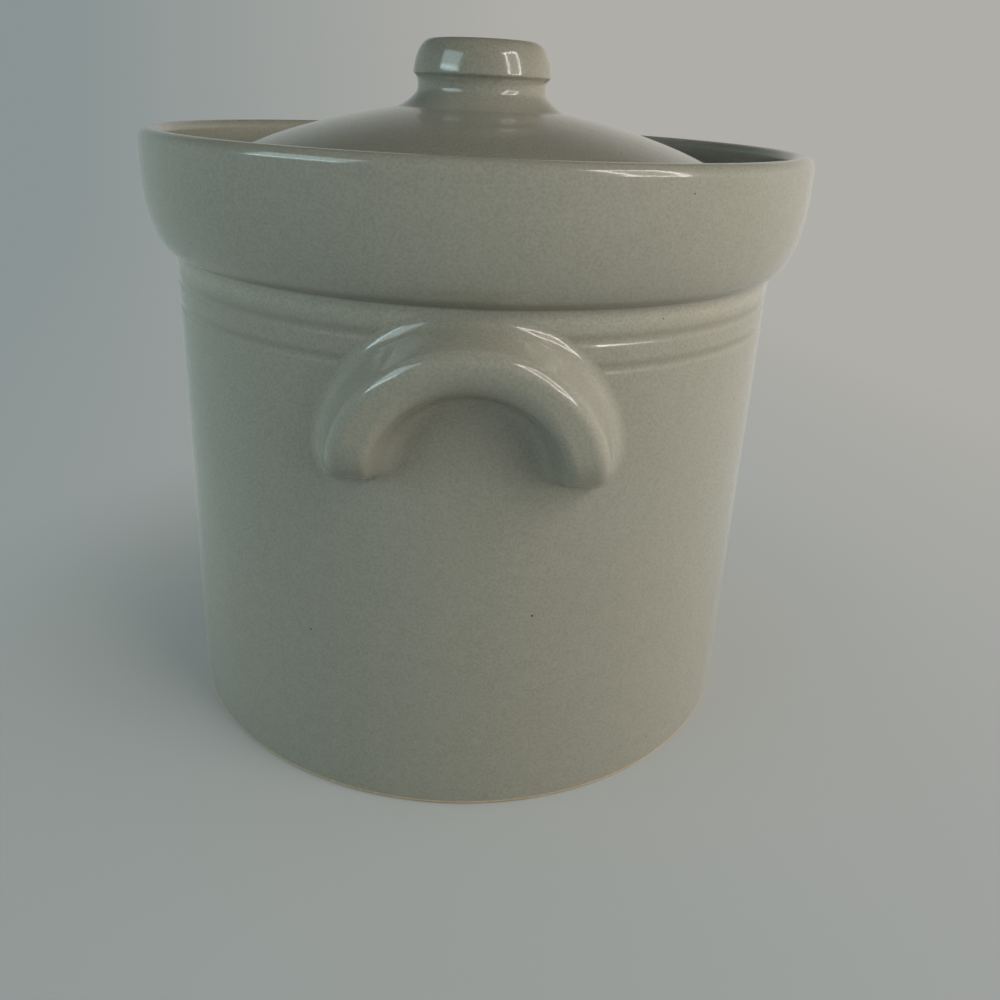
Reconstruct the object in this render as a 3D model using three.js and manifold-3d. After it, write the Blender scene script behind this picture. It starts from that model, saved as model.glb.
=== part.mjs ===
// A lidded stoneware crock: a straight-sided pot with a deep collar, two arched lugs, and a domed
// lid with a flat-topped knob that sits down inside the collar.
// Millimetres, +Z up. The origin is the centre of the foot, on the table. The front lug faces -Y.
import * as THREE from "three";
import { mergeVertices } from "three/addons/utils/BufferGeometryUtils.js";
import Module from "manifold-3d";

const wasm = await Module();
wasm.setup();

// Pot: foot, wall and floor
const bodyHeight = 196.6;
const wallRadius = 102.8;
const wallTaper = 2.6;
const wallThickness = 8.3;
const floorThickness = 7;
const floorFillet = 14;
const footRecess = 2.5;
const footRingWidth = 18;
const footRound = 1.6;

// Pot: collar, lip and the ledge inside it that carries the lid
const collarHeight = 38;
const collarOverhang = 9.7;
const collarCurveHeight = 27.4;
const collarThickness = 7;
const lipOuterRound = 2.5;
const lipLand = 1;
const ledgeDepth = 25.6;

// Pot: rings turned into the wall under the collar
const ringCount = 2;
const firstRingDrop = 8.3;
const ringPitch = 9;
const ringWidth = 3.6;
const ringDepth = 0.7;

// Lid
const lidClearance = 1.7;
const lidEdgeHeight = 7.5;
const lidEdgeRound = 2;
const lidThickness = 6.5;
const domeRise = 26.9;
const flangeClearance = 2.2;
const flangeThickness = 5.8;
const flangeDepth = 11;
const neckRadius = 21.9;
const neckFlare = 7.1;
const neckHeight = 7.6;

// Knob
const knobHeight = 15.8;
const knobFlare = 1.9;
const knobFlareHeight = 3.4;
const knobRimHeight = 1.3;
const knobTaper = 1.4;
const knobTopRound = 4;
const knobCrown = 0.9;

// Lugs
const lugDrop = 5.6;
const archRadius = 31.6;
const barRadius = 8.4;
const barProjection = 16.2;
const crestLand = 0.7;
const crestWrap = 0.6;
const legLift = THREE.MathUtils.degToRad(14);
const lutingGap = 0.3;
const rootMargin = 3;

// Facets
const turnSteps = 60;
const roundSteps = 4;
const sweepSteps = 7;
const archSteps = 10;

// Levels and radii that follow from the sizes above
const creaseLevel = bodyHeight - collarHeight;
const ledgeLevel = bodyHeight - ledgeDepth;
const footRadius = wallRadius - wallTaper;
const mouthRadius = wallRadius - wallThickness;
const collarRadius = wallRadius + collarOverhang;
const collarInnerRadius = collarRadius - collarThickness;
const floorLevel = footRecess + floorThickness;
const lidRadius = collarInnerRadius - lidClearance;
const flangeRadius = mouthRadius - flangeClearance;
const lidEdgeLevel = ledgeLevel + lidEdgeHeight;
const domeLevel = lidEdgeLevel + domeRise;
const neckLevel = domeLevel + neckHeight;
const knobTopLevel = neckLevel + knobHeight;

const point = (radius, level) => new THREE.Vector2(radius, level);

// Points along a round stretch of an outline, about a centre, between two angles in quarter turns.
// It is a circular arc unless a separate height is given.
function round(centre, across, from, to, steps = roundSteps, up = across) {
  const start = (from * Math.PI) / 2;
  const end = (to * Math.PI) / 2;
  const curve = new THREE.EllipseCurve(centre.x, centre.y, across, up, start, end, to < from);
  return curve.getPoints(steps);
}

// A geometry with only shared positions, and no triangles of zero area.
function welded(geometry) {
  geometry.deleteAttribute("normal");
  geometry.deleteAttribute("uv");
  const merged = mergeVertices(geometry, 1e-4);
  const kept = [];
  const index = merged.index.array;
  for (let i = 0; i < index.length; i += 3) {
    const [a, b, c] = index.slice(i, i + 3);
    if (a !== b && b !== c && c !== a) kept.push(a, b, c);
  }
  merged.setIndex(kept);
  return merged;
}

// The solid that an outline makes when it is turned about the vertical axis. The outline starts
// on the axis below and runs outwards, up and back to the axis.
function turned(outline) {
  return welded(new THREE.LatheGeometry(outline, turnSteps).rotateX(Math.PI / 2));
}

function solidFrom(geometry) {
  const mesh = new wasm.Mesh({
    numProp: 3,
    vertProperties: new Float32Array(geometry.attributes.position.array),
    triVerts: new Uint32Array(geometry.index.array),
  });
  return new wasm.Manifold(mesh);
}

function geometryFrom(solid) {
  const { vertProperties, triVerts } = solid.getMesh();
  const geometry = new THREE.BufferGeometry();
  geometry.setAttribute("position", new THREE.BufferAttribute(vertProperties, 3));
  geometry.setIndex(new THREE.BufferAttribute(triVerts, 1));
  return geometry;
}

// Outside radius of the tapered wall at a level.
const wallRadiusAt = (level) => footRadius + (wallTaper * level) / creaseLevel;

// One shallow ring turned into the wall, listed upwards.
function ringGroove(level) {
  const low = level - ringWidth / 2;
  const high = level + ringWidth / 2;
  return [
    point(wallRadiusAt(low), low),
    point(wallRadiusAt(level) - ringDepth, level),
    point(wallRadiusAt(high), high),
  ];
}

function potOutline() {
  const rings = [];
  for (let i = ringCount - 1; i >= 0; i--) {
    rings.push(...ringGroove(creaseLevel - firstRingDrop - i * ringPitch));
  }
  const footInnerRadius = footRadius - footRound - footRingWidth;
  const lipInnerRound = collarThickness - lipOuterRound - lipLand;
  const footCentre = point(footRadius - footRound, footRound);
  const collarCentre = point(wallRadius, creaseLevel + collarCurveHeight);
  const lipOuterCentre = point(collarRadius - lipOuterRound, bodyHeight - lipOuterRound);
  const lipInnerCentre = point(collarInnerRadius + lipInnerRound, bodyHeight - lipInnerRound);
  const floorCentre = point(footRadius - wallThickness - floorFillet, floorLevel + floorFillet);
  return [
    point(0, footRecess),
    point(footInnerRadius - footRecess, footRecess),
    point(footInnerRadius, 0),
    ...round(footCentre, footRound, -1, 0, roundSteps / 2),
    ...rings,
    ...round(collarCentre, collarOverhang, -1, 0, sweepSteps, collarCurveHeight),
    ...round(lipOuterCentre, lipOuterRound, 0, 1),
    ...round(lipInnerCentre, lipInnerRound, 1, 2),
    point(collarInnerRadius, ledgeLevel),
    point(mouthRadius, ledgeLevel),
    ...round(floorCentre, floorFillet, 0, -1),
    point(0, floorLevel),
  ];
}

// The lid's outer surface, from the foot of the neck down to the edge.
const neckFootRadius = neckRadius + neckFlare;
const domeSpan = lidRadius - neckFootRadius;
const dome = new THREE.CubicBezierCurve(
  point(neckFootRadius, domeLevel),
  point(neckFootRadius + 0.36 * domeSpan, domeLevel - 0.18 * domeRise),
  point(neckFootRadius + 0.68 * domeSpan, domeLevel - 0.46 * domeRise),
  point(lidRadius, lidEdgeLevel),
);

// Level of the dome's outer surface at a radius, found by halving the curve.
function domeLevelAt(radius) {
  let low = 0;
  let high = 1;
  for (let i = 0; i < 40; i++) {
    const middle = (low + high) / 2;
    if (dome.getPoint(middle).x < radius) low = middle;
    else high = middle;
  }
  return dome.getPoint(low).y;
}

function lidOutline() {
  const flangeInnerRadius = flangeRadius - flangeThickness;
  const flangeLevel = ledgeLevel - flangeDepth;
  const underside = [];
  for (let i = 0; i <= sweepSteps; i++) {
    const radius = (flangeInnerRadius * i) / sweepSteps;
    underside.push(point(radius, domeLevelAt(radius) - lidThickness));
  }
  const edgeCentre = point(lidRadius - lidEdgeRound, lidEdgeLevel - lidEdgeRound);
  const edge = round(edgeCentre, lidEdgeRound, 0, 0.7, roundSteps / 2);
  const top = dome.getPoints(2 * sweepSteps).filter((p) => p.x < edgeCentre.x - lidEdgeRound);
  const neck = new THREE.QuadraticBezierCurve(
    point(neckFootRadius, domeLevel),
    point(neckRadius, domeLevel + 0.15 * neckHeight),
    point(neckRadius, neckLevel),
  );
  return [
    ...underside,
    point(flangeInnerRadius, flangeLevel),
    point(flangeRadius, flangeLevel),
    point(flangeRadius, ledgeLevel),
    point(lidRadius, ledgeLevel),
    ...edge,
    ...top.reverse(),
    ...neck.getPoints(roundSteps).slice(1),
    point(0, neckLevel),
  ];
}

function knobOutline() {
  const rimRadius = neckRadius + knobFlare;
  const rimLevel = neckLevel + knobFlareHeight;
  const topRadius = rimRadius - knobTaper;
  const topCentre = point(topRadius - knobTopRound, knobTopLevel - knobCrown - knobTopRound);
  return [
    point(0, neckLevel),
    point(neckRadius, neckLevel),
    point(rimRadius, rimLevel),
    point(rimRadius, rimLevel + knobRimHeight),
    ...round(topCentre, knobTopRound, 0, 1),
    point(0, knobTopLevel),
  ];
}

// How far the wall falls back from its foremost line at a distance to the side.
const wallSagAt = (x) => wallRadius - Math.sqrt(wallRadius ** 2 - x ** 2);

// A lug: an arch of bar with round ends and a round nose, as a clay lug is pressed. Its crest
// follows part of the wall's curve, and its back is cut to the wall that it is luted to.
function lugGeometry() {
  const archLevel = creaseLevel - lugDrop - archRadius - barRadius;
  const outline = new THREE.Shape();
  const legEnd = (angle) => point(archRadius * Math.cos(angle), archLevel + archRadius * Math.sin(angle));
  const right = legEnd(legLift);
  const left = legEnd(Math.PI - legLift);
  outline.absarc(0, archLevel, archRadius + barRadius, legLift, Math.PI - legLift, false);
  outline.absarc(left.x, left.y, barRadius, Math.PI - legLift, 2 * Math.PI - legLift, false);
  outline.absarc(0, archLevel, archRadius - barRadius, Math.PI - legLift, legLift, true);
  outline.absarc(right.x, right.y, barRadius, Math.PI + legLift, 2 * Math.PI + legLift, false);

  const noseRound = barRadius - crestLand;
  const depth = barProjection - noseRound + wallSagAt(archRadius + barRadius) + rootMargin;
  const bar = new THREE.ExtrudeGeometry(outline, {
    depth,
    curveSegments: archSteps,
    bevelSize: noseRound,
    bevelOffset: -noseRound,
    bevelThickness: noseRound,
    bevelSegments: roundSteps,
  });
  bar.rotateX(Math.PI / 2);
  bar.translate(0, -(wallRadius + barProjection - noseRound - depth), 0);
  const places = bar.attributes.position;
  for (let i = 0; i < places.count; i++) {
    places.setY(i, places.getY(i) + crestWrap * wallSagAt(places.getX(i)));
  }

  const wall = turned([
    point(0, 0),
    point(footRadius + lutingGap, 0),
    point(wallRadius + lutingGap, creaseLevel),
    point(0, creaseLevel),
  ]);
  return geometryFrom(solidFrom(welded(bar)).subtract(solidFrom(wall)));
}

const glaze = { color: 0xb4b3a8, roughness: 0.32, metalness: 0 };

function piece(name, geometry) {
  const mesh = new THREE.Mesh(geometry, new THREE.MeshStandardMaterial(glaze));
  mesh.name = name;
  return mesh;
}

const frontHandle = piece("front_handle", lugGeometry());
const rearHandle = piece("rear_handle", lugGeometry());
rearHandle.rotation.z = Math.PI;

const pot = new THREE.Group();
pot.add(piece("crock_body", turned(potOutline())), frontHandle, rearHandle);

const cover = new THREE.Group();
cover.add(piece("lid", turned(lidOutline())), piece("lid_knob", turned(knobOutline())));

const crock = new THREE.Group();
crock.add(pot, cover);

export default crock;
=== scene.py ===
"""Looks of a lidded stoneware crock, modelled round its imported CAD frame.

The file is laid out as a Blender 4.5 add-on and is run as a script. Lengths are in metres in the
frame of the CAD part: +Z is up, the front handle is on the -Y side and the foot stands on Z = 0.
"""

import math

import bpy
from mathutils import Matrix, Vector


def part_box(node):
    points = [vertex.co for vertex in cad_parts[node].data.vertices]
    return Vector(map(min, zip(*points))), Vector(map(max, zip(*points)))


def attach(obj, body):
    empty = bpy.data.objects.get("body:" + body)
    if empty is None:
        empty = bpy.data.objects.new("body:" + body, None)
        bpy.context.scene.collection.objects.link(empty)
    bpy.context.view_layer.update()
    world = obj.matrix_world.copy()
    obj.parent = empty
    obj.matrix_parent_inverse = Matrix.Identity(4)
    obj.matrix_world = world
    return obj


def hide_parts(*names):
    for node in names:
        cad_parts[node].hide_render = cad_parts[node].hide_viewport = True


bl_info = {
    "name": "Lidded crock",
    "version": (1, 0, 0),
    "blender": (4, 5, 0),
    "location": "3D View > Sidebar > Crock",
    "description": "Models a glazed stoneware crock with a domed lid round its CAD frame",
    "category": "Add Mesh",
}

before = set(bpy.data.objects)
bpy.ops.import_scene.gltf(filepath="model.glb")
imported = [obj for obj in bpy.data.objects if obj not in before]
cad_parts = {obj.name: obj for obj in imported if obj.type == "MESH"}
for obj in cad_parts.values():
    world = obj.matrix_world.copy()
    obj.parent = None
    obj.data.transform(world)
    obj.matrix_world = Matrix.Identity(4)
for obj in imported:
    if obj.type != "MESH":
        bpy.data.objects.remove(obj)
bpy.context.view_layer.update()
POT_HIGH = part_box("crock_body")[1]
LID_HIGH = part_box("lid")[1]
KNOB_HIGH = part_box("lid_knob")[1]

# Level of the foot of the lid's neck
NECK_FOOT_LEVEL = 0.2054

# Below the ledge, a place further from the axis than this is on the outside of the pot
OUTSIDE_RADIUS = 0.1

# How far the lamps stand from the point that they are aimed at
LAMP_DISTANCE = 0.95
LAMP_AIM = Vector((0.0, 0.0, 0.14))


def length(name, description, default):
    """A property that holds a length in metres."""
    return bpy.props.FloatProperty(
        name=name, description=description, default=default, min=0.0, precision=5, unit="LENGTH"
    )


def angle(name, description, default):
    """A property that holds an angle, given in degrees."""
    return bpy.props.FloatProperty(
        name=name, description=description, default=math.radians(default), unit="ROTATION"
    )


def colour(name, description, default):
    """A property that holds a colour, given as an sRGB hex value."""
    return bpy.props.FloatVectorProperty(
        name=name, description=description, default=linear(default), size=3, subtype="COLOR"
    )


def factor(name, description, default):
    """A property that holds a share between 0 and 1."""
    return bpy.props.FloatProperty(
        name=name, description=description, default=default, min=0.0, max=1.0, subtype="FACTOR"
    )


def linear(hex_value):
    """Linear red, green and blue of an sRGB hex value such as "#A3A296"."""
    channels = []
    for start in (1, 3, 5):
        share = int(hex_value[start : start + 2], 16) / 255
        if share <= 0.04045:
            channels.append(share / 12.92)
        else:
            channels.append(((share + 0.055) / 1.055) ** 2.4)
    return tuple(channels)


class CrockPotSizes(bpy.types.PropertyGroup):
    """Sizes of the pot with its collar and rings"""

    height: length("Height", "Table to the top of the lip", POT_HIGH.z)
    collar_radius: length("Collar radius", "Outside radius of the collar", POT_HIGH.x)
    collar_height: length("Collar height", "Crease under the collar to the top of the lip", 0.038)
    collar_overhang: length("Collar overhang", "How far the collar stands out from the wall", 0.0097)
    collar_curve: length("Collar curve", "Height of the rounded underside of the collar", 0.0274)
    collar_thickness: length("Collar thickness", "Thickness of the collar at the lip", 0.007)
    crease_fillet: length("Crease fillet", "Radius of glaze in the crease under the collar", 0.0008)
    lip_round: length("Lip round", "Outer rounding of the lip", 0.0034)
    lip_land: length("Lip land", "Flat width on top of the lip", 0.0006)
    ledge_depth: length("Ledge depth", "Top of the lip down to the ledge that carries the lid", 0.0256)
    wall_thickness: length("Wall thickness", "Thickness of the wall", 0.0083)
    wall_taper: length("Wall taper", "How much the wall narrows from the crease to the foot", 0.0026)
    floor_level: length("Floor level", "Table to the floor inside", 0.0095)
    floor_fillet: length("Floor fillet", "Inside radius between wall and floor", 0.014)
    foot_recess: length("Foot recess", "Depth of the hollow inside the foot ring", 0.0025)
    foot_width: length("Foot ring width", "Width of the ring that the pot stands on", 0.018)
    foot_round: length("Foot round", "Rounding of the foot's outer edge", 0.0016)
    bare_foot: length("Bare foot", "Height of bare clay left round the foot", 0.0019)
    ring_drop: length("Ring drop", "Crease down to the upper ring", 0.0095)
    ring_pitch: length("Ring pitch", "Distance between the two rings", 0.0079)
    ring_above: length("Ring above", "Height of the long slope above a ring's deepest line", 0.0032)
    ring_below: length("Ring below", "Height of the short slope under a ring's deepest line", 0.0016)
    ring_depth: length("Ring depth", "Depth of a turned ring", 0.000318)


class CrockLidSizes(bpy.types.PropertyGroup):
    """Sizes of the domed lid"""

    radius: length("Radius", "Outside radius of the lid", LID_HIGH.x)
    edge_height: length("Edge height", "Height of the lid's upright edge", 0.0075)
    edge_round: length("Edge round", "Rounding of the lid's upper edge", 0.002)
    thickness: length("Thickness", "Thickness of the dome", 0.0065)
    dome_rise: length("Dome rise", "Edge of the lid up to the foot of the neck", 0.0269)
    flange_radius: length("Flange radius", "Outside radius of the ring under the lid", 0.0923)
    flange_thickness: length("Flange thickness", "Thickness of the ring under the lid", 0.0058)
    flange_depth: length("Flange depth", "Depth of the ring under the lid", 0.011)
    neck_radius: length("Neck radius", "Radius of the waist under the knob", 0.0222)
    neck_flare: length("Neck flare", "How much the neck spreads into the dome", 0.0082)
    neck_cove: length("Neck cove", "Radius of the hollow where the neck begins to spread", 0.0035)
    neck_height: length("Neck height", "Height of the neck", LID_HIGH.z - NECK_FOOT_LEVEL)


class CrockKnobSizes(bpy.types.PropertyGroup):
    """Sizes of the knob on the lid"""

    top_level: length("Top level", "Table to the top of the knob", KNOB_HIGH.z)
    rim_radius: length("Rim radius", "Radius of the rim round the foot of the knob", KNOB_HIGH.x)
    flare_height: length("Flare height", "Height of the flare under the rim", 0.0034)
    shoulder: length("Shoulder", "How far the rounded shoulder reaches in from the rim", 0.0065)
    crown: length("Crown", "Rise of the slightly domed top", 0.0006)


class CrockHandleSizes(bpy.types.PropertyGroup):
    """Sizes of the two arched lug handles, with the flanks as they are before their edges are rounded"""

    arch_level: length("Arch level", "Table to the centre of the arch", 0.113)
    arch_radius: length("Arch radius", "Radius of the middle of the bar", 0.0318)
    leg_start: angle("Leg start", "Where the legs begin to sink, above the arch centre", 24)
    leg_end: angle("Leg end", "Where the legs end, below the arch centre", 11)
    projection: length("Projection", "Wall to the front of the bar", 0.0162)
    outer_front: length("Outer front", "Middle of the bar to its outer flank at the front", 0.0058)
    outer_root: length("Outer root", "Middle of the bar to its outer flank at the wall", 0.01)
    outer_round: length("Outer round", "Rounding between the front and the outer flank", 0.0044)
    inner_front: length("Inner front", "Middle of the bar to its inner flank at the front", 0.0045)
    inner_root: length("Inner root", "Middle of the bar to its inner flank at the wall", 0.0104)
    inner_round: length("Inner round", "Rounding between the front and the inner flank", 0.009)
    leg_round: length("Leg round", "The same rounding at the legs", 0.0036)
    tighten_start: angle("Tighten start", "Where that rounding begins to tighten towards the legs", 80)
    outer_fillet: length("Outer fillet", "Radius between the outer flank and the wall", 0.0045)
    inner_fillet: length("Inner fillet", "Radius between the inner flank and the wall", 0.0065)
    sink: length("Sink", "How far the end of the fillet lies under the face of the wall", 0.00004)
    root_depth: length("Root depth", "How far the bar's root goes into the wall", 0.003)
    crest_wrap: factor("Crest wrap", "How much of the wall's roundness the front follows", 0.6)
    inner_drop: factor("Inner drop", "How much less the bar stands out along its inner edge", 0.05)


class CrockFinish(bpy.types.PropertyGroup):
    """Colours and grain of the glaze and the bare clay"""

    glaze: colour("Glaze", "Main colour of the glaze", "#929185")
    glaze_thin: colour("Thin glaze", "Warmer tone where the glaze lies thinner", "#959081")
    glaze_thick: colour("Thick glaze", "Cooler tone where the glaze lies thicker", "#8D9086")
    speckle: colour("Speckle", "Fine grey-brown grain in the glaze", "#706E60")
    # Pooling glaze with painted shade: browner in the crease and the rings
    pooled: colour("Pooling glaze and painted shade", "Brown of pooling glaze with painted shade in the crease and the rings", "#6B6554")
    # Painted light: a paler band on the wall just under the collar
    pale: colour("Painted light band", "Painted light: a paler band on the wall under the collar", "#A9A797")
    iron: colour("Iron spots", "Small dark spots of iron", "#2E2A22")
    clay: colour("Bare clay", "Fired clay without glaze", "#C6B08C")
    # Painted shade: the lid and its knob are darkened with more of the grain's tone
    lid_painted_shade: factor("Lid painted shade", "Painted shade: how much more of the grain's darker tone the lid and its knob show", 0.22)
    speckle_size: length("Speckle spacing", "Spacing of the fine grain", 0.0007)
    mottle_size: length("Mottle size", "Size of the soft cloudy patches", 0.004)
    drift_size: length("Drift size", "Size of the slow drift of tone", 0.07)
    ripple_size: length("Ripple size", "Size of the low ripples of the glaze", 0.0035)
    spot_spacing: length("Spot spacing", "Size of the cells that may hold an iron spot", 0.011)
    sand_size: length("Sand size", "Spacing of the sand in the bare clay", 0.0009)
    # Reach and strength of that pooling glaze and painted shade
    pooling_and_shade_below: length("Pooling and shade below", "How far pooled glaze runs below the crease", 0.0012)
    pooling_and_shade_above: length("Pooling and shade above", "How far pooled glaze climbs above the crease", 0.0034)
    ring_pooling_and_shade_below: length("Ring pooling and shade below", "How far pooled glaze runs below a ring", 0.0006)
    crease_pooling_and_shade: factor("Crease pooling and shade", "How brown pooled glaze gets in the crease", 0.5)
    ring_pooling_and_shade: factor("Ring pooling and shade", "How brown pooled glaze gets in the rings", 0.3)
    # Reach and strength of that painted light band
    painted_light_reach: factor("Painted light reach", "How far the painted light band goes from the crease to the upper ring", 0.75)
    painted_light_share: factor("Painted light share", "How pale the painted light band gets", 0.5)


class CrockStage(bpy.types.PropertyGroup):
    """Floor, backdrop, lights and camera"""

    floor: colour("Floor", "Colour of the floor", "#B1B3B0")
    # Painted light: the backdrop glows dimmer on the left and brighter on the right, as if lit from the
    # right
    backdrop_glow_left: colour("Backdrop glow left", "Painted glow of the backdrop on the left, dimmer as if lit from the right", "#8A9494")
    backdrop_glow_right: colour("Backdrop glow right", "Painted glow of the backdrop on the right, brighter as if lit from the right", "#B0AEA9")
    left_light: colour("Left light", "Colour of the light from the left", "#DBF8FF")
    right_light: colour("Right light", "Colour of the light from the right", "#FFF9F3")
    camera_height: length("Camera height", "Table to the camera", 0.2113)
    camera_distance: length("Camera distance", "Axis of the crock to the camera", 0.3315)
    camera_pitch: angle("Camera pitch", "How far the camera looks down", 17.42)
    camera_yaw: angle("Camera yaw", "How far the camera turns to the right", 1.97)
    camera_roll: angle("Camera roll", "How far the camera leans to the left", 2.77)


def arc(centre, across, start, end, steps, up=None):
    """Points of a round stretch of an outline about a centre, between two angles in degrees."""
    up = across if up is None else up
    points = []
    for step in range(steps + 1):
        turn = math.radians(start + (end - start) * step / steps)
        points.append((centre[0] + across * math.cos(turn), centre[1] + up * math.sin(turn)))
    return points


def straight(start, end, steps):
    """Points of a straight stretch, without its first point."""
    points = []
    for step in range(1, steps + 1):
        share = step / steps
        points.append(tuple(a + (b - a) * share for a, b in zip(start, end)))
    return points


def curve(controls, steps):
    """Points of a Bezier curve with the given control points."""
    points = []
    for step in range(steps + 1):
        share = step / steps
        level = [Vector(control) for control in controls]
        while len(level) > 1:
            level = [a.lerp(b, share) for a, b in zip(level, level[1:])]
        points.append(tuple(level[0]))
    return points


def draw_outline(name, outline):
    """Draws an open outline of points in space, by extruding a corner from one point to the next."""
    bpy.ops.object.select_all(action="DESELECT")
    bpy.ops.mesh.primitive_plane_add(size=0.001, location=(0, 0, 0))
    piece = bpy.context.active_object
    piece.name = name
    piece.data.name = name
    bpy.ops.object.mode_set(mode="EDIT")
    bpy.ops.mesh.select_all(action="SELECT")
    bpy.ops.mesh.merge(type="CENTER")
    bpy.ops.transform.translate(value=outline[0])
    for before, after in zip(outline, outline[1:]):
        step = Vector(after) - Vector(before)
        bpy.ops.mesh.extrude_region_move(TRANSFORM_OT_translate={"value": step})
    bpy.ops.object.mode_set(mode="OBJECT")
    return piece


def close_seams():
    """In edit mode, merges the seam and the poles that a spin leaves, and turns the faces outwards."""
    bpy.ops.mesh.select_all(action="SELECT")
    bpy.ops.mesh.remove_doubles(threshold=0.000004)
    bpy.ops.mesh.normals_make_consistent(inside=False)


def turn_on_wheel(name, outline, steps):
    """Turns an outline of (radius, level) points about the upright axis."""
    piece = draw_outline(name, [(radius, 0.0, level) for radius, level in outline])
    bpy.ops.object.mode_set(mode="EDIT")
    bpy.ops.mesh.select_all(action="SELECT")
    bpy.ops.mesh.spin(steps=steps, angle=2 * math.pi, center=(0, 0, 0), axis=(0, 0, 1))
    close_seams()
    bpy.ops.object.mode_set(mode="OBJECT")
    return piece


def dress(piece, body, node, *materials):
    """Shades a finished piece, gives it its materials and puts it in the place of its CAD node."""
    bpy.ops.object.select_all(action="DESELECT")
    piece.select_set(True)
    bpy.context.view_layer.objects.active = piece
    bpy.ops.object.shade_smooth_by_angle(angle=math.radians(50))
    for material in materials:
        piece.data.materials.append(material)
    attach(piece, body)
    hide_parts(node)


def add_node(tree, kind, sockets=None, **settings):
    """Adds a node with its settings, and fills its sockets with values or with other nodes' outputs."""
    made = tree.nodes.new(kind)
    for name, value in settings.items():
        setattr(made, name, value)
    for name, value in (sockets or {}).items():
        if isinstance(value, bpy.types.NodeSocket):
            tree.links.new(value, made.inputs[name])
        else:
            made.inputs[name].default_value = value
    return made


def opaque(rgb):
    """A colour property as the four numbers that a colour socket takes."""
    return (*rgb, 1.0)


def blank_material(name):
    """A new material with no nodes in it yet."""
    material = bpy.data.materials.new(name)
    material.use_nodes = True
    material.node_tree.nodes.clear()
    return material


def band_share(tree, place, bands):
    """Share of another tone at a place: it rises to the middle of each band, on the outside only."""
    axes = add_node(tree, "ShaderNodeSeparateXYZ", {"Vector": place})
    share = 0.0
    for low, high, most in bands:
        above = add_node(
            tree, "ShaderNodeMath", {0: axes.outputs["Z"], 1: (low + high) / 2}, operation="SUBTRACT"
        )
        apart = add_node(tree, "ShaderNodeMath", {0: above.outputs["Value"]}, operation="ABSOLUTE")
        band = add_node(
            tree,
            "ShaderNodeMapRange",
            {
                "Value": apart.outputs["Value"],
                "From Max": (high - low) / 2,
                "To Min": most,
                "To Max": 0.0,
            },
            interpolation_type="SMOOTHSTEP",
        )
        total = add_node(tree, "ShaderNodeMath", {0: share, 1: band.outputs["Result"]}, operation="ADD")
        share = total.outputs["Value"]
    flat = add_node(tree, "ShaderNodeVectorMath", {0: place, 1: (1.0, 1.0, 0.0)}, operation="MULTIPLY")
    out = add_node(tree, "ShaderNodeVectorMath", {0: flat.outputs["Vector"]}, operation="LENGTH")
    outside = add_node(
        tree, "ShaderNodeMath", {0: out.outputs["Value"], 1: OUTSIDE_RADIUS}, operation="GREATER_THAN"
    )
    masked = add_node(
        tree, "ShaderNodeMath", {0: share, 1: outside.outputs["Value"]}, operation="MULTIPLY"
    )
    return masked.outputs["Value"]


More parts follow.
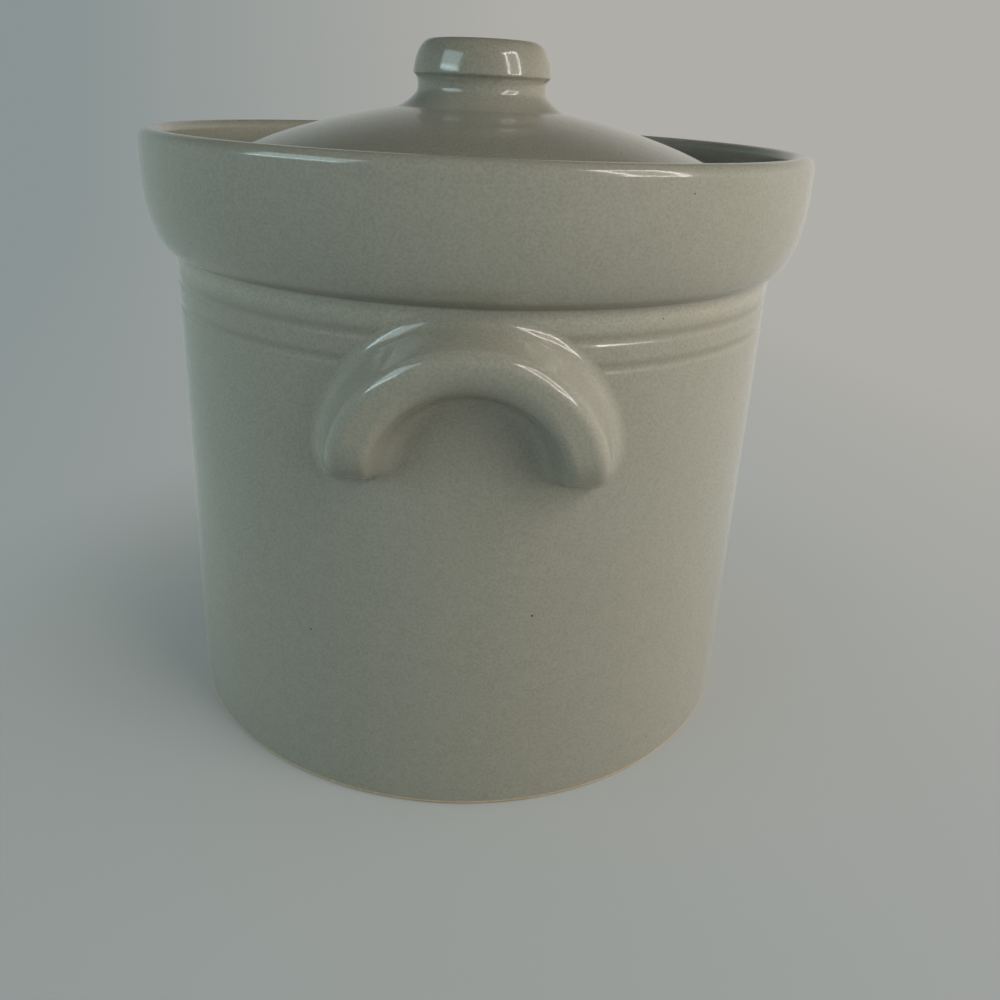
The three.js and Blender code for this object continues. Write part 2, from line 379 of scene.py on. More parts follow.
def glaze_material(finish, name="satin_stoneware_glaze", pooled=(), pale=(), painted_shade=0.0):
    """Satin stoneware glaze, dipped and fired on a speckled clay body.

    The eye sees a pale grey with soft cloudy patches, a fine grey-brown grain that shows through
    from the clay, a few iron spots, and crisp but slightly rippled highlights. In the bands of pooling
    and shade, given as (lowest level, highest level, share), it turns browner: pooling glaze with
    painted shade in the crease and the rings. In the pale bands it turns paler: painted light under
    the collar. Painted shade is how much more of the grain's darker tone shows all over.
    """
    if name in bpy.data.materials:
        return bpy.data.materials[name]
    material = blank_material(name)
    tree = material.node_tree
    place = add_node(tree, "ShaderNodeTexCoord").outputs["Object"]

    # Drift of tone over a hand's breadth, where the dip left more or less glaze
    drift = add_node(
        tree,
        "ShaderNodeTexNoise",
        {"Vector": place, "Scale": 1 / finish.drift_size, "Detail": 2.0, "Roughness": 0.5},
    )
    tone = add_node(
        tree,
        "ShaderNodeMix",
        {0: drift.outputs["Fac"], 6: opaque(finish.glaze_thick), 7: opaque(finish.glaze_thin)},
        data_type="RGBA",
    )
    body = add_node(
        tree,
        "ShaderNodeMix",
        {0: 0.5, 6: opaque(finish.glaze), 7: tone.outputs[2]},
        data_type="RGBA",
    )
    # Painted light: a paler band on the wall just under the collar
    painted_light_tone = add_node(
        tree,
        "ShaderNodeMix",
        {0: band_share(tree, place, pale), 6: body.outputs[2], 7: opaque(finish.pale)},
        data_type="RGBA",
    )

    # Cloudy patches of a few millimetres
    cloud = add_node(
        tree,
        "ShaderNodeTexNoise",
        {"Vector": place, "Scale": 1 / finish.mottle_size, "Detail": 3.0, "Roughness": 0.6},
    )
    # On the lid and its knob the painted shade share adds more of the grain's tone: painted shade
    cloud_level = add_node(
        tree,
        "ShaderNodeMapRange",
        {
            "Value": cloud.outputs["Fac"],
            "From Min": 0.3,
            "From Max": 0.7,
            "To Min": painted_shade,
            "To Max": painted_shade + 0.1,
        },
    )

    # Fine grain under a millimetre apart, drawn a little coarser than real so that it shows
    grain = add_node(
        tree,
        "ShaderNodeTexNoise",
        {"Vector": place, "Scale": 1 / finish.speckle_size, "Detail": 1.5, "Roughness": 0.6},
    )
    grain_level = add_node(
        tree,
        "ShaderNodeMapRange",
        {"Value": grain.outputs["Fac"], "From Min": 0.4, "From Max": 0.65, "To Min": 0.0, "To Max": 0.33},
    )
    # Grain and cloudy patches, and on the lid and knob painted shade
    grain_and_painted_shade = add_node(
        tree,
        "ShaderNodeMath",
        {0: cloud_level.outputs["Result"], 1: grain_level.outputs["Result"]},
        operation="ADD",
        use_clamp=True,
    )
    speckled = add_node(
        tree,
        "ShaderNodeMix",
        {0: grain_and_painted_shade.outputs["Value"], 6: painted_light_tone.outputs[2], 7: opaque(finish.speckle)},
        data_type="RGBA",
    )

    # Iron spots up to 0.5 mm in radius, one in half of the 11 mm cells. Few of them reach the surface
    cells = add_node(
        tree,
        "ShaderNodeTexVoronoi",
        {"Vector": place, "Scale": 1 / finish.spot_spacing, "Randomness": 1.0},
    )
    lot = add_node(tree, "ShaderNodeSeparateColor", {"Color": cells.outputs["Color"]})
    spot_radius = add_node(
        tree,
        "ShaderNodeMapRange",
        {"Value": lot.outputs["Red"], "From Min": 0.5, "From Max": 1.0, "To Min": 0.0, "To Max": 0.045},
    )
    spot = add_node(
        tree,
        "ShaderNodeMath",
        {0: cells.outputs["Distance"], 1: spot_radius.outputs["Result"]},
        operation="LESS_THAN",
    )
    # Browner in the crease and the rings: pooling glaze with painted shade
    pooling_and_shade_colour = add_node(
        tree,
        "ShaderNodeMix",
        {0: band_share(tree, place, pooled), 6: speckled.outputs[2], 7: opaque(finish.pooled)},
        data_type="RGBA",
    )
    glaze_colour = add_node(
        tree,
        "ShaderNodeMix",
        {0: spot.outputs["Value"], 6: pooling_and_shade_colour.outputs[2], 7: opaque(finish.iron)},
        data_type="RGBA",
    )

    # Low ripples, as the melted glaze settles, and a finer skin of pits
    ripple = add_node(
        tree,
        "ShaderNodeTexNoise",
        {"Vector": place, "Scale": 1 / finish.ripple_size, "Detail": 1.0, "Roughness": 0.4},
    )
    waves = add_node(
        tree, "ShaderNodeBump", {"Strength": 1.0, "Distance": 0.00002, "Height": ripple.outputs["Fac"]}
    )
    pits = add_node(
        tree,
        "ShaderNodeBump",
        {
            "Strength": 1.0,
            "Distance": 0.000004,
            "Height": grain.outputs["Fac"],
            "Normal": waves.outputs["Normal"],
        },
    )

    # The satin differs a little from patch to patch
    satin = add_node(
        tree,
        "ShaderNodeMapRange",
        {"Value": cloud.outputs["Fac"], "From Min": 0.3, "From Max": 0.7, "To Min": 0.11, "To Max": 0.15},
    )
    shader = add_node(
        tree,
        "ShaderNodeBsdfPrincipled",
        {
            "Base Color": glaze_colour.outputs[2],
            "Roughness": satin.outputs["Result"],
            "IOR": 1.5,
            "Normal": pits.outputs["Normal"],
        },
    )
    add_node(tree, "ShaderNodeOutputMaterial", {"Surface": shader.outputs["BSDF"]})
    return material


def clay_material(finish):
    """Bare fired stoneware clay, wiped clean of glaze on the foot: matt, sandy and warm tan."""
    material = blank_material("bare_stoneware_clay")
    tree = material.node_tree
    place = add_node(tree, "ShaderNodeTexCoord").outputs["Object"]
    sand = add_node(
        tree,
        "ShaderNodeTexNoise",
        {"Vector": place, "Scale": 1 / finish.sand_size, "Detail": 3.0, "Roughness": 0.7},
    )
    sand_level = add_node(
        tree,
        "ShaderNodeMapRange",
        {"Value": sand.outputs["Fac"], "From Min": 0.4, "From Max": 0.7, "To Min": 0.0, "To Max": 0.5},
    )
    clay_colour = add_node(
        tree,
        "ShaderNodeMix",
        {0: sand_level.outputs["Result"], 6: opaque(finish.clay), 7: opaque(finish.speckle)},
        data_type="RGBA",
    )
    grit = add_node(
        tree, "ShaderNodeBump", {"Strength": 1.0, "Distance": 0.00008, "Height": sand.outputs["Fac"]}
    )
    shader = add_node(
        tree,
        "ShaderNodeBsdfPrincipled",
        {
            "Base Color": clay_colour.outputs[2],
            "Roughness": 0.85,
            "IOR": 1.5,
            "Normal": grit.outputs["Normal"],
        },
    )
    add_node(tree, "ShaderNodeOutputMaterial", {"Surface": shader.outputs["BSDF"]})
    return material


def wall_radius_at(pot, level):
    """Outside radius of the tapered wall at a level."""
    crease_level = pot.height - pot.collar_height
    foot_radius = pot.collar_radius - pot.collar_overhang - pot.wall_taper
    return foot_radius + pot.wall_taper * level / crease_level


def ring(pot, level):
    """Points of a soft ring turned into the wall, listed upwards, with its deepest line at a level."""
    half_steps = 10
    points = []
    for step in range(-half_steps, half_steps + 1):
        share = step / half_steps
        depth = pot.ring_depth * (0.5 + 0.5 * math.cos(math.pi * share))
        here = level + share * (pot.ring_above if share > 0 else pot.ring_below)
        points.append((wall_radius_at(pot, here) - depth, here))
    return points


def pooled_bands(pot, finish):
    """Where pooling glaze and painted shade brown the pot outside, as (lowest level, highest level,
    share).
    """
    crease_level = pot.height - pot.collar_height
    upper_ring = crease_level - pot.ring_drop
    lower_ring = upper_ring - pot.ring_pitch
    bands = [(crease_level - finish.pooling_and_shade_below, crease_level + finish.pooling_and_shade_above, finish.crease_pooling_and_shade)]
    for level in (upper_ring, lower_ring):
        bands.append((level - finish.ring_pooling_and_shade_below, level + pot.ring_above, finish.ring_pooling_and_shade))
    return bands


def painted_light_bands(pot, finish):
    """Where a paler band of painted light lies under the collar, as (lowest level, highest level, share).
    """
    crease_level = pot.height - pot.collar_height
    return [(crease_level - finish.painted_light_reach * pot.ring_drop, crease_level, finish.painted_light_share)]


def pot_outline(pot):
    """The pot's outline from the middle of its underside, out, up, over the lip and down inside."""
    crease_level = pot.height - pot.collar_height
    wall_radius = pot.collar_radius - pot.collar_overhang
    foot_radius = wall_radius - pot.wall_taper
    foot_inner = foot_radius - pot.foot_round - pot.foot_width
    inner_radius = pot.collar_radius - pot.collar_thickness
    mouth_radius = wall_radius - pot.wall_thickness
    ledge_level = pot.height - pot.ledge_depth
    upper_ring = crease_level - pot.ring_drop
    lower_ring = upper_ring - pot.ring_pitch
    lip_inner_round = pot.collar_thickness - pot.lip_round - pot.lip_land
    crease = pot.crease_fillet

    outline = [(0.0, pot.foot_recess)]
    outline += straight(outline[-1], (foot_inner - pot.foot_recess, pot.foot_recess), 5)
    outline += straight(outline[-1], (foot_inner, 0.0), 4)
    foot_centre = (foot_radius - pot.foot_round, pot.foot_round)
    outline += straight(outline[-1], (foot_centre[0], 0.0), 4)
    outline += arc(foot_centre, pot.foot_round, -90, 0, 8)[1:]
    outline += straight(outline[-1], ring(pot, lower_ring)[0], 26)
    outline += ring(pot, lower_ring)[1:]
    outline += straight(outline[-1], ring(pot, upper_ring)[0], 3)
    outline += ring(pot, upper_ring)[1:]
    outline += straight(outline[-1], (wall_radius, crease_level - crease), 3)
    outline += arc((wall_radius + crease, crease_level - crease), crease, 180, 90, 5)[1:]
    collar_centre = (wall_radius, crease_level + pot.collar_curve)
    underside_start = 1.3 * crease
    lean = math.degrees(math.asin(underside_start / pot.collar_overhang))
    outline += arc(collar_centre, pot.collar_overhang, -90 + lean, 0, 22, pot.collar_curve)
    lip_outer = (pot.collar_radius - pot.lip_round, pot.height - pot.lip_round)
    outline += straight(outline[-1], (pot.collar_radius, lip_outer[1]), 3)
    outline += arc(lip_outer, pot.lip_round, 0, 90, 10)[1:]
    lip_inner = (inner_radius + lip_inner_round, pot.height - lip_inner_round)
    outline += arc(lip_inner, lip_inner_round, 90, 180, 10)
    corner = 0.0015
    outline += straight(outline[-1], (inner_radius, ledge_level + corner), 5)
    outline += arc((inner_radius - corner, ledge_level + corner), corner, 0, -90, 5)[1:]
    outline += straight(outline[-1], (mouth_radius + corner, ledge_level), 3)
    outline += arc((mouth_radius + corner, ledge_level - corner), corner, 90, 180, 5)[1:]
    floor_centre = (
        foot_radius - pot.wall_thickness - pot.floor_fillet,
        pot.floor_level + pot.floor_fillet,
    )
    outline += straight(outline[-1], (floor_centre[0] + pot.floor_fillet, floor_centre[1]), 12)
    outline += arc(floor_centre, pot.floor_fillet, 0, -90, 10)[1:]
    outline += straight(outline[-1], (0.0, pot.floor_level), 5)
    return outline


class CROCK_OT_add_pot(bpy.types.Operator):
    """Turns the pot with its collar, rings and bare foot"""

    bl_idname = "crock.add_pot"
    bl_label = "Pot"

    def execute(self, context):
        pot = context.scene.crock_pot
        finish = context.scene.crock_finish
        piece = turn_on_wheel("stoneware_pot", pot_outline(pot), 216)
        # Browner bands of pooling glaze and painted shade, and a paler band of painted light
        glaze = glaze_material(
            finish,
            "satin_stoneware_glaze_pooling_shade_and_light_bands",
            pooled_bands(pot, finish),
            painted_light_bands(pot, finish),
        )
        dress(piece, "crock", "crock_body", glaze, clay_material(finish))
        for face in piece.data.polygons:
            underside = face.normal.z < -0.5 and face.center.z < pot.floor_level / 2
            if underside or face.center.z < pot.bare_foot:
                face.material_index = 1
        return {"FINISHED"}


def handle_side(projection, front, root, edge_round, fillet):
    """One side of the bar's section as (across, off the wall), from the wall to its front."""
    draft = math.atan2(root - front, projection)
    lean = math.degrees(draft)
    spread = (1 - math.sin(draft)) / math.cos(draft)
    points = arc((root + fillet * spread, fillet), fillet, 270, 180 + lean, 14)
    edge = arc((front - edge_round * spread, projection - edge_round), edge_round, lean, 90, 14)
    return points + straight(points[-1], edge[0], 5) + edge[1:]


def handle_section(handle):
    """The bar's section as (across, off the wall), from the outer side of the arch to the inner."""
    outer = handle_side(
        handle.projection,
        handle.outer_front,
        handle.outer_root,
        handle.outer_round,
        handle.outer_fillet,
    )
    inner = handle_side(
        handle.projection,
        handle.inner_front,
        handle.inner_root,
        handle.inner_round,
        handle.inner_fillet,
    )
    return outer + [(-across, off) for across, off in reversed(inner)]


def smooth_step(start, end, value):
    """Rises smoothly from 0 at start to 1 at end."""
    share = min(max((value - start) / (end - start), 0.0), 1.0)
    return share * share * (3 - 2 * share)


def tighten_leg(piece, handle):
    """Draws the rounding of the inner edge tighter towards the leg, where the edge is crisper."""
    draft = math.atan2(handle.inner_root - handle.inner_front, handle.projection)
    spread = (1 - math.sin(draft)) / math.cos(draft)
    begin = handle.inner_front - handle.inner_round * spread
    low = handle.projection - handle.inner_round * (1 - math.sin(draft))
    slack = 0.000001
    for corner in piece.data.vertices:
        rise = corner.co.z - handle.arch_level
        turn = math.atan2(rise, corner.co.x)
        inwards = handle.arch_radius - math.hypot(corner.co.x, rise)
        off = -corner.co.y
        if inwards > begin - slack and off > low - slack:
            share = smooth_step(handle.tighten_start, handle.leg_start, turn)
            ratio = 1 - (1 - handle.leg_round / handle.inner_round) * share
            out = handle.arch_radius - handle.inner_front - (inwards - handle.inner_front) * ratio
            corner.co.x = out * math.cos(turn)
            corner.co.z = out * math.sin(turn) + handle.arch_level
            corner.co.y = -handle.projection - (off - handle.projection) * ratio


def sink_leg(piece, handle):
    """Rounds off the end of a leg, which narrows and sinks into the wall.

    The last section stops just short of the end, so that it keeps some width.
    """
    sweep = handle.leg_start + handle.leg_end
    reach = 0.99
    narrowing = 4
    sinking = 2.5
    for corner in piece.data.vertices:
        rise = corner.co.z - handle.arch_level
        across = math.hypot(corner.co.x, rise) - handle.arch_radius
        turn = math.atan2(rise, corner.co.x)
        share = reach * math.sin(math.pi / 2 * max((handle.leg_start - turn) / sweep, 0.0))
        if share > 0:
            turn = handle.leg_start - share * sweep
            out = handle.arch_radius + across * (1 - share**narrowing) ** (1 / narrowing)
            corner.co.x = out * math.cos(turn)
            corner.co.z = out * math.sin(turn) + handle.arch_level
            corner.co.y = (corner.co.y - handle.sink) * (1 - share**sinking) + handle.sink


def lay_on_wall(piece, pot, handle):
    """Lays a bar drawn off a flat wall on the round one.

    Its root follows the wall, and its front only part of that roundness. It stands out less along
    its inner edge.
    """
    inner = handle.arch_radius - handle.inner_root
    outer = handle.arch_radius + handle.outer_root
    for corner in piece.data.vertices:
        out = math.hypot(corner.co.x, corner.co.z - handle.arch_level)
        off = -corner.co.y * (1 - handle.inner_drop * smooth_step(outer, inner, out))
        wall = wall_radius_at(pot, corner.co.z)
        sag = wall - math.sqrt(wall**2 - corner.co.x**2)
        follow = 1 - (1 - handle.crest_wrap) * off / handle.projection
        corner.co.y = -wall + follow * sag - off


def front_handle(pot, handle):
    """The front lug: one half is swept, mirrored, laid on the wall and rooted in it."""
    centre = Vector((0.0, 0.0, handle.arch_level))
    crown = handle.arch_level + handle.arch_radius
    places = [(0.0, -off, crown + across) for across, off in handle_section(handle)]
    piece = draw_outline("stoneware_handle_front", places)
    bpy.ops.object.mode_set(mode="EDIT")
    bpy.ops.mesh.select_all(action="SELECT")
    bpy.ops.mesh.spin(steps=60, angle=math.pi / 2 + handle.leg_end, center=centre, axis=(0, -1, 0))
    bpy.ops.object.mode_set(mode="OBJECT")
    tighten_leg(piece, handle)
    sink_leg(piece, handle)

    mirror = piece.modifiers.new("other_leg", "MIRROR")
    mirror.merge_threshold = 0.00001
    bpy.ops.object.modifier_apply(modifier=mirror.name)
    lay_on_wall(piece, pot, handle)

    bpy.ops.object.mode_set(mode="EDIT")
    close_seams()
    bpy.ops.mesh.select_all(action="DESELECT")
    bpy.ops.mesh.select_mode(type="EDGE")
    bpy.ops.mesh.select_non_manifold()
    bpy.ops.mesh.extrude_region_move(
        TRANSFORM_OT_translate={"value": (0.0, handle.root_depth, 0.0)}
    )
    bpy.ops.mesh.edge_face_add()
    bpy.ops.mesh.quads_convert_to_tris()
    bpy.ops.mesh.select_mode(type="VERT")
    close_seams()
    bpy.ops.object.mode_set(mode="OBJECT")
    return piece


class CROCK_OT_add_handles(bpy.types.Operator):
    """Sweeps the front lug handle and copies it to the back"""

    bl_idname = "crock.add_handles"
    bl_label = "Handles"

    def execute(self, context):
        pot = context.scene.crock_pot
        handle = context.scene.crock_handle
        glaze = glaze_material(context.scene.crock_finish)
        front = front_handle(pot, handle)
        bpy.ops.object.select_all(action="DESELECT")
        front.select_set(True)
        bpy.context.view_layer.objects.active = front
        bpy.ops.object.duplicate(linked=False)
        rear = bpy.context.active_object
        rear.name = "stoneware_handle_rear"
        rear.data.name = rear.name
        bpy.ops.object.mode_set(mode="EDIT")
        bpy.ops.mesh.select_all(action="SELECT")
        bpy.ops.transform.rotate(value=math.pi, orient_axis="Z", center_override=(0, 0, 0))
        bpy.ops.object.mode_set(mode="OBJECT")
        dress(front, "crock", "front_handle", glaze)
        dress(rear, "crock", "rear_handle", glaze)
        return {"FINISHED"}


def lid_glaze(finish):
    """The same glaze on the lid and its knob, darkened with painted shade to look a shade duller than the
    pot.
    """
    return glaze_material(finish, "satin_stoneware_glaze_lid_painted_shade", painted_shade=finish.lid_painted_shade)


def lid_levels(pot, lid):
    """Levels of the lid's seat, the top of its upright edge, and the foot of its neck."""
    seat = pot.height - pot.ledge_depth
    edge = seat + lid.edge_height
    return seat, edge, edge + lid.dome_rise


def dome_curve(lid, edge, dome):
    """The top of the dome from the neck out to the edge, shaped by shares of its width and rise."""
    neck_foot = lid.neck_radius + lid.neck_flare
    span = lid.radius - neck_foot
    controls = [
        (neck_foot, dome),
        (neck_foot + 0.36 * span, dome - 0.18 * lid.dome_rise),
        (neck_foot + 0.68 * span, dome - 0.46 * lid.dome_rise),
        (lid.radius, edge),
    ]
    return curve(controls, 36)


def neck_curve(lid, dome):
    """The side of the neck from the dome up into its cove, shaped by shares of its flare and height."""
    neck_foot = lid.neck_radius + lid.neck_flare
    cove_level = dome + lid.neck_height - 0.07 * lid.neck_height
    cove = arc((lid.neck_radius + lid.neck_cove, cove_level), lid.neck_cove, 180, 222, 10)
    spread = cove[-1]
    controls = [
        (neck_foot, dome),
        (neck_foot - 0.34 * lid.neck_flare, dome + 0.04 * lid.neck_height),
        (spread[0] + 0.15 * lid.neck_flare, spread[1] - 0.1665 * lid.neck_flare),
        spread,
    ]
    return curve(controls, 16) + cove[-2::-1]


def lid_outline(pot, lid):
    """The lid's outline from the middle of its underside, round the edge and up to the neck."""
    seat, edge, dome = lid_levels(pot, lid)
    neck_foot = lid.neck_radius + lid.neck_flare
    neck_level = dome + lid.neck_height
    flange_inner = lid.flange_radius - lid.flange_thickness
    flange_level = seat - lid.flange_depth
    top = dome_curve(lid, edge, dome)
    soft = 0.0012
    underside = [(0.0, dome - lid.thickness)]
    underside += straight(underside[0], (neck_foot, dome - lid.thickness), 3)
    for radius, level in top[1:]:
        if radius < flange_inner - soft:
            underside.append((radius, level - lid.thickness))
    outline = underside + straight(underside[-1], (flange_inner, underside[-1][1] - 3 * soft), 2)
    outline += straight(outline[-1], (flange_inner, flange_level + soft), 3)
    outline += arc((flange_inner + soft, flange_level + soft), soft, 180, 270, 4)[1:]
    outline += arc((lid.flange_radius - soft, flange_level + soft), soft, 270, 360, 4)
    outline += straight(outline[-1], (lid.flange_radius, seat - soft), 2)
    outline += arc((lid.flange_radius + soft, seat - soft), soft, 180, 90, 4)[1:]
    outline += arc((lid.radius - soft, seat + soft), soft, 270, 360, 4)

    # The edge is rounded until it leans about as the dome does, which goes on a little further in
    edge_centre = (lid.radius - lid.edge_round, edge - lid.edge_round)
    outline += straight(outline[-1], (lid.radius, edge_centre[1]), 2)
    outline += arc(edge_centre, lid.edge_round, 0, 62, 7)[1:]
    limit = outline[-1][0] - 0.4 * lid.edge_round
    outline += [place for place in reversed(top) if place[0] < limit]
    outline += neck_curve(lid, dome)[1:]
    outline += straight(outline[-1], (lid.neck_radius, neck_level), 2)
    outline += straight(outline[-1], (0.0, neck_level), 3)
    return outline


class CROCK_OT_add_lid(bpy.types.Operator):
    """Turns the domed lid with its neck and the ring under it"""

    bl_idname = "crock.add_lid"
    bl_label = "Lid"

    def execute(self, context):
        scene = context.scene
        piece = turn_on_wheel("stoneware_lid", lid_outline(scene.crock_pot, scene.crock_lid), 216)
        dress(piece, "lid", "lid", lid_glaze(scene.crock_finish))
        return {"FINISHED"}


def knob_outline(pot, lid, knob):
    """The knob's outline from the neck, out over its rim and up to its crown.

    Its curves are shaped by shares of its flare, its shoulder and its side.
    """
    base = lid_levels(pot, lid)[2] + lid.neck_height
    rim_level = base + knob.flare_height
    soft = 0.0006
    outline = [(0.0, base)]
    outline += straight(outline[0], (lid.neck_radius, base), 3)
    outline += curve(
        [
            (lid.neck_radius, base),
            (lid.neck_radius, base + 0.75 * knob.flare_height),
            (knob.rim_radius - 0.5 * soft, rim_level),
        ],
        8,
    )[1:]
    outline += arc((knob.rim_radius - soft, rim_level + soft), soft, -60, 0, 4)[1:]
    rim_top = outline[-1][1]
    side_top = knob.top_level - knob.crown
    outline += curve(
        [
            outline[-1],
            (knob.rim_radius - 0.048 * knob.shoulder, 0.7 * rim_top + 0.3 * side_top),
            (knob.rim_radius - 0.23 * knob.shoulder, 0.015 * rim_top + 0.985 * side_top),
            (knob.rim_radius - knob.shoulder, side_top),
        ],
        24,
    )[1:]
    outline += curve([outline[-1], (0.5 * outline[-1][0], knob.top_level), (0.0, knob.top_level)], 8)[1:]
    return outline


class CROCK_OT_add_knob(bpy.types.Operator):
    """Turns the flat-topped knob"""

    bl_idname = "crock.add_knob"
    bl_label = "Knob"

    def execute(self, context):
        scene = context.scene
        outline = knob_outline(scene.crock_pot, scene.crock_lid, scene.crock_knob)
        piece = turn_on_wheel("stoneware_knob", outline, 144)
        dress(piece, "lid", "lid_knob", lid_glaze(scene.crock_finish))
        return {"FINISHED"}


def backdrop_material(stage):
    """Matt seamless paper, plain and pale.

    Near the crock it is mostly lit by the lamps. Further out the camera and reflections see it glow
    as painted light, dimmer and cooler on the left and brighter and warmer on the right, as if lit
    from the right, so that it stays pale all round. The glow fades upwards, and reflections see it a
    little brighter.
    """
    material = blank_material("matt_backdrop_paper")
    tree = material.node_tree
    place = add_node(tree, "ShaderNodeTexCoord").outputs["Object"]
    side = add_node(
        tree, "ShaderNodeVectorMath", {0: place, 1: (1.0, 0.3, 0.0)}, operation="DOT_PRODUCT"
    )
    aside = add_node(
        tree, "ShaderNodeMapRange", {"Value": side.outputs["Value"], "From Min": -0.3, "From Max": 0.5}
    )
    # Painted light: the glow is dimmer on the left and brighter on the right
    glow = add_node(
        tree,
        "ShaderNodeMix",
        {0: aside.outputs["Result"], 6: opaque(stage.backdrop_glow_left), 7: opaque(stage.backdrop_glow_right)},
        data_type="RGBA",
    )
    flat = add_node(
        tree, "ShaderNodeVectorMath", {0: place, 1: (1.0, 1.0, 0.0)}, operation="MULTIPLY"
    )
    away = add_node(tree, "ShaderNodeVectorMath", {0: flat.outputs["Vector"]}, operation="LENGTH")
    far = add_node(
        tree,
        "ShaderNodeMapRange",
        {"Value": away.outputs["Value"], "From Min": 0.05, "From Max": 0.25, "To Min": 0.2},
        interpolation_type="SMOOTHSTEP",
    )
    path = add_node(tree, "ShaderNodeLightPath")
    seen_or_mirrored = add_node(
        tree,
        "ShaderNodeMath",
        {0: path.outputs["Is Camera Ray"], 1: path.outputs["Is Glossy Ray"]},
        operation="ADD",
    )
    seen = add_node(
        tree,
        "ShaderNodeMath",
        {0: seen_or_mirrored.outputs["Value"], 1: path.outputs["Is Transmission Ray"]},
        operation="ADD",
        use_clamp=True,
    )
    share = add_node(
        tree,
        "ShaderNodeMath",
        {0: seen.outputs["Value"], 1: far.outputs["Result"]},
        operation="MULTIPLY",
    )
    paper = add_node(tree, "ShaderNodeBsdfDiffuse", {"Color": opaque(stage.floor), "Roughness": 0.5})
    axes = add_node(tree, "ShaderNodeSeparateXYZ", {"Vector": place})
    fade = add_node(
        tree,
        "ShaderNodeMapRange",
        {"Value": axes.outputs["Z"], "From Min": 0.45, "From Max": 1.3, "To Min": 1.0, "To Max": 0.1},
        interpolation_type="SMOOTHSTEP",
    )
    mirrored = add_node(
        tree,
        "ShaderNodeMapRange",
        {"Value": path.outputs["Is Glossy Ray"], "To Min": 1.0, "To Max": 1.3},
    )
    strength = add_node(
        tree,
        "ShaderNodeMath",
        {0: fade.outputs["Result"], 1: mirrored.outputs["Result"]},
        operation="MULTIPLY",
    )
    backdrop_glow = add_node(
        tree, "ShaderNodeEmission", {"Color": glow.outputs[2], "Strength": strength.outputs["Value"]}
    )
    blend = add_node(
        tree,
        "ShaderNodeMixShader",
        {0: share.outputs["Value"], 1: paper.outputs["BSDF"], 2: backdrop_glow.outputs["Emission"]},
    )
    add_node(tree, "ShaderNodeOutputMaterial", {"Surface": blend.outputs["Shader"]})
    return material


def add_backdrop(stage):
    """A round floor that sweeps up on all sides."""
    floor_radius = 0.9
    bend = 0.5
    wall_top = 1.8
    outline = [(0.0, 0.0)]
    outline += straight(outline[0], (floor_radius, 0.0), 6)
    outline += arc((floor_radius, bend), bend, -90, 0, 14)[1:]
    outline += straight(outline[-1], (floor_radius + bend, wall_top), 6)
    sweep = turn_on_wheel("backdrop", outline, 96)
    bpy.ops.object.shade_smooth()
    sweep.data.materials.append(backdrop_material(stage))


def add_softbox(name, rgb, radiance, towards, size, shift=(0.0, 0.0, 0.0), lights=True, shines=True):
    """A rectangular softbox, aimed at the crock from the lamps' distance.

    Towards is its azimuth, turned to the right from the front, and its elevation, in degrees. Shift
    moves it sideways, up and nearer. One that only lights is left out of reflections, and one that
    only shines is seen in reflections alone.
    """
    turn = math.radians(towards[0])
    rise = math.radians(towards[1])
    away = Vector((math.sin(turn) * math.cos(rise), -math.cos(turn) * math.cos(rise), math.sin(rise)))
    facing = away.to_track_quat("Z", "Y")
    place = LAMP_AIM + away * LAMP_DISTANCE + facing @ Vector((shift[0], shift[1], -shift[2]))
    bpy.ops.object.light_add(type="AREA", location=place)
    lamp = bpy.context.active_object
    lamp.name = name
    lamp.rotation_euler = facing.to_euler()
    lamp.data.shape = "RECTANGLE"
    lamp.data.size, lamp.data.size_y = size
    lamp.data.color = rgb
    lamp.data.energy = radiance * math.pi * size[0] * size[1]
    lamp.visible_camera = False
    lamp.visible_diffuse = lights
    lamp.visible_glossy = shines


def add_lights(stage):
    """Soft light from both sides, a little from behind, and the two windows that the glaze reflects."""
    cool = stage.left_light
    warm = stage.right_light
    add_softbox("left_box", cool, 2.75, (-57, 10), (0.8, 0.4), shines=False)
    add_softbox("left_side_box", cool, 3.3, (-100, 6), (0.8, 0.3), shines=False)
    add_softbox("right_box", warm, 3.8, (54, 10), (0.8, 0.4), shines=False)
    add_softbox("right_high_box", warm, 5.7, (54, 40), (0.6, 0.4), shines=False)
    add_softbox("right_side_box", warm, 7.9, (105, 6), (0.6, 0.3), shines=False)
    add_softbox("rear_box_left", cool, 1.8, (-150, 10), (0.6, 0.4), shines=False)
    add_softbox("rear_box_right", warm, 1.8, (150, 10), (0.6, 0.4), shines=False)
    add_softbox("left_window", cool, 3.6, (-57, 30), (0.54, 0.34), (0.0, 0.045, 0.0), lights=False)
    add_softbox("left_window_low", cool, 9.0, (-57, 30), (0.54, 0.09), (0.0, -0.18, 0.0), lights=False)
    add_softbox("right_window", warm, 1.2, (54, 29), (0.35, 0.58), lights=False)
    for name, shift, size in (
        ("right_frame_near", (-0.155, 0.0, 0.02), (0.04, 0.58)),
        ("right_frame_far", (0.155, 0.0, 0.02), (0.04, 0.58)),
        ("right_frame_top", (0.0, 0.27, 0.03), (0.35, 0.04)),
        ("right_frame_low", (0.0, -0.27, 0.03), (0.35, 0.04)),
    ):
        add_softbox(name, warm, 17.0, (54, 29), size, shift, lights=False)


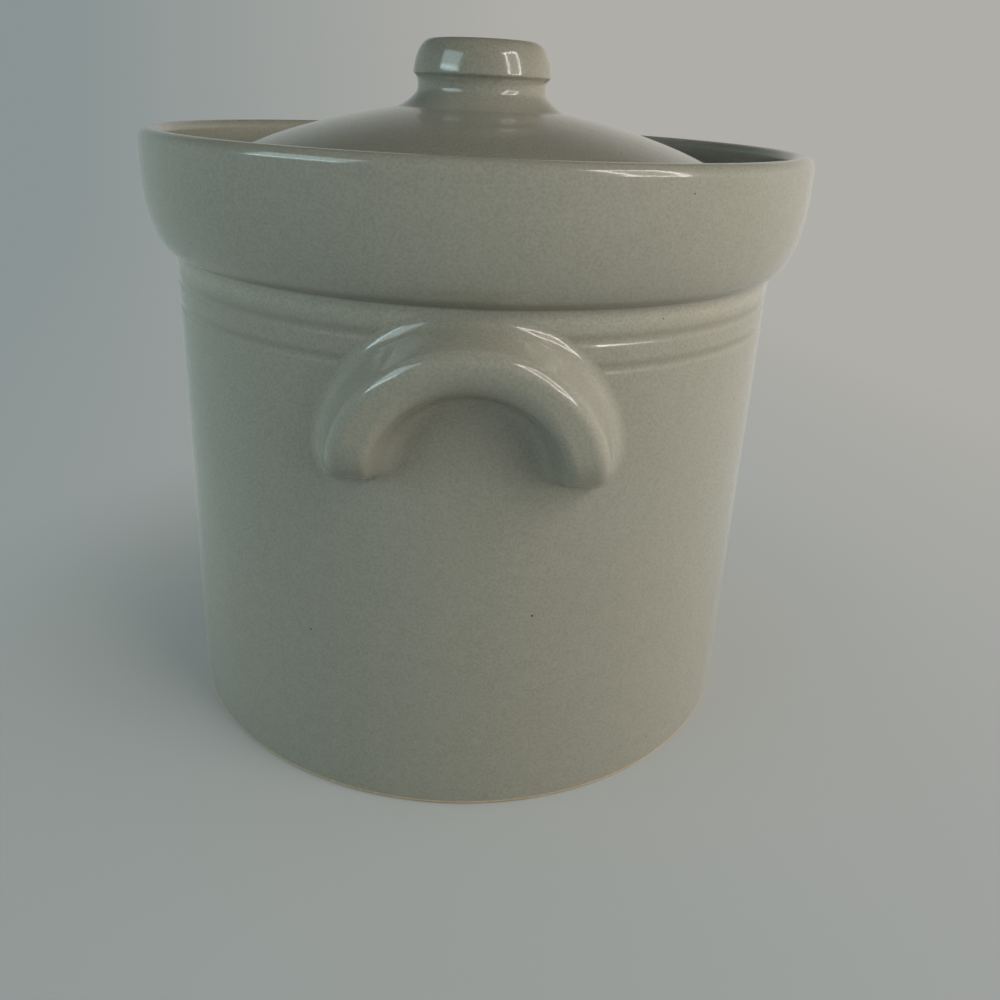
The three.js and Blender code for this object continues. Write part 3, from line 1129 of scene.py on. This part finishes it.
def add_surround(scene, stage):
    """A dim even surround, which the camera sees as pale as the backdrop."""
    world = bpy.data.worlds.new("studio_surround")
    scene.world = world
    world.use_nodes = True
    tree = world.node_tree
    tree.nodes.clear()
    path = add_node(tree, "ShaderNodeLightPath")
    strength = add_node(
        tree,
        "ShaderNodeMapRange",
        {"Value": path.outputs["Is Camera Ray"], "To Min": 0.02, "To Max": 1.0},
    )
    glow = add_node(
        tree,
        "ShaderNodeBackground",
        {"Color": opaque(stage.backdrop_glow_right), "Strength": strength.outputs["Result"]},
    )
    add_node(tree, "ShaderNodeOutputWorld", {"Surface": glow.outputs["Background"]})


def add_camera(scene, stage):
    """A camera close to the crock, a little above the rim, leaning as the photograph does."""
    bpy.ops.object.camera_add(location=(0.0, -stage.camera_distance, stage.camera_height))
    camera = bpy.context.active_object
    camera.name = "camera"
    turned = (
        Matrix.Rotation(-stage.camera_yaw, 3, "Z")
        @ Matrix.Rotation(math.pi / 2 - stage.camera_pitch, 3, "X")
        @ Matrix.Rotation(stage.camera_roll, 3, "Z")
    )
    camera.rotation_euler = turned.to_euler()

    # Sensor and lens in millimetres, and the shift as shares of the frame's width
    camera.data.sensor_width = 36.0
    camera.data.lens = 32.92
    camera.data.shift_x = -0.001
    camera.data.shift_y = -0.1194
    scene.camera = camera


class CROCK_OT_add_stage(bpy.types.Operator):
    """Adds the floor, the backdrop, the lights and the camera"""

    bl_idname = "crock.add_stage"
    bl_label = "Stage"

    def execute(self, context):
        scene = context.scene
        stage = scene.crock_stage
        add_backdrop(stage)
        add_lights(stage)
        add_surround(scene, stage)
        add_camera(scene, stage)
        scene.view_settings.view_transform = "Standard"
        return {"FINISHED"}


class CROCK_PT_sidebar(bpy.types.Panel):
    """Lists the pieces of the crock in the sidebar"""

    bl_idname = "CROCK_PT_sidebar"
    bl_label = "Lidded crock"
    bl_space_type = "VIEW_3D"
    bl_region_type = "UI"
    bl_category = "Crock"

    def draw(self, context):
        for operator in OPERATORS:
            self.layout.operator(operator.bl_idname)
        for name in GROUPS:
            box = self.layout.box()
            group = getattr(context.scene, name)
            for key in group.__annotations__:
                box.prop(group, key)


GROUPS = {
    "crock_pot": CrockPotSizes,
    "crock_lid": CrockLidSizes,
    "crock_knob": CrockKnobSizes,
    "crock_handle": CrockHandleSizes,
    "crock_finish": CrockFinish,
    "crock_stage": CrockStage,
}
OPERATORS = (
    CROCK_OT_add_pot,
    CROCK_OT_add_handles,
    CROCK_OT_add_lid,
    CROCK_OT_add_knob,
    CROCK_OT_add_stage,
)


def register():
    for name, group in GROUPS.items():
        bpy.utils.register_class(group)
        setattr(bpy.types.Scene, name, bpy.props.PointerProperty(type=group))
    for operator in OPERATORS:
        bpy.utils.register_class(operator)
    bpy.utils.register_class(CROCK_PT_sidebar)


def unregister():
    bpy.utils.unregister_class(CROCK_PT_sidebar)
    for operator in reversed(OPERATORS):
        bpy.utils.unregister_class(operator)
    for name, group in reversed(GROUPS.items()):
        delattr(bpy.types.Scene, name)
        bpy.utils.unregister_class(group)


def main():
    register()
    bpy.ops.crock.add_pot()
    bpy.ops.crock.add_handles()
    bpy.ops.crock.add_lid()
    bpy.ops.crock.add_knob()
    bpy.ops.crock.add_stage()


if __name__ == "__main__":
    main()
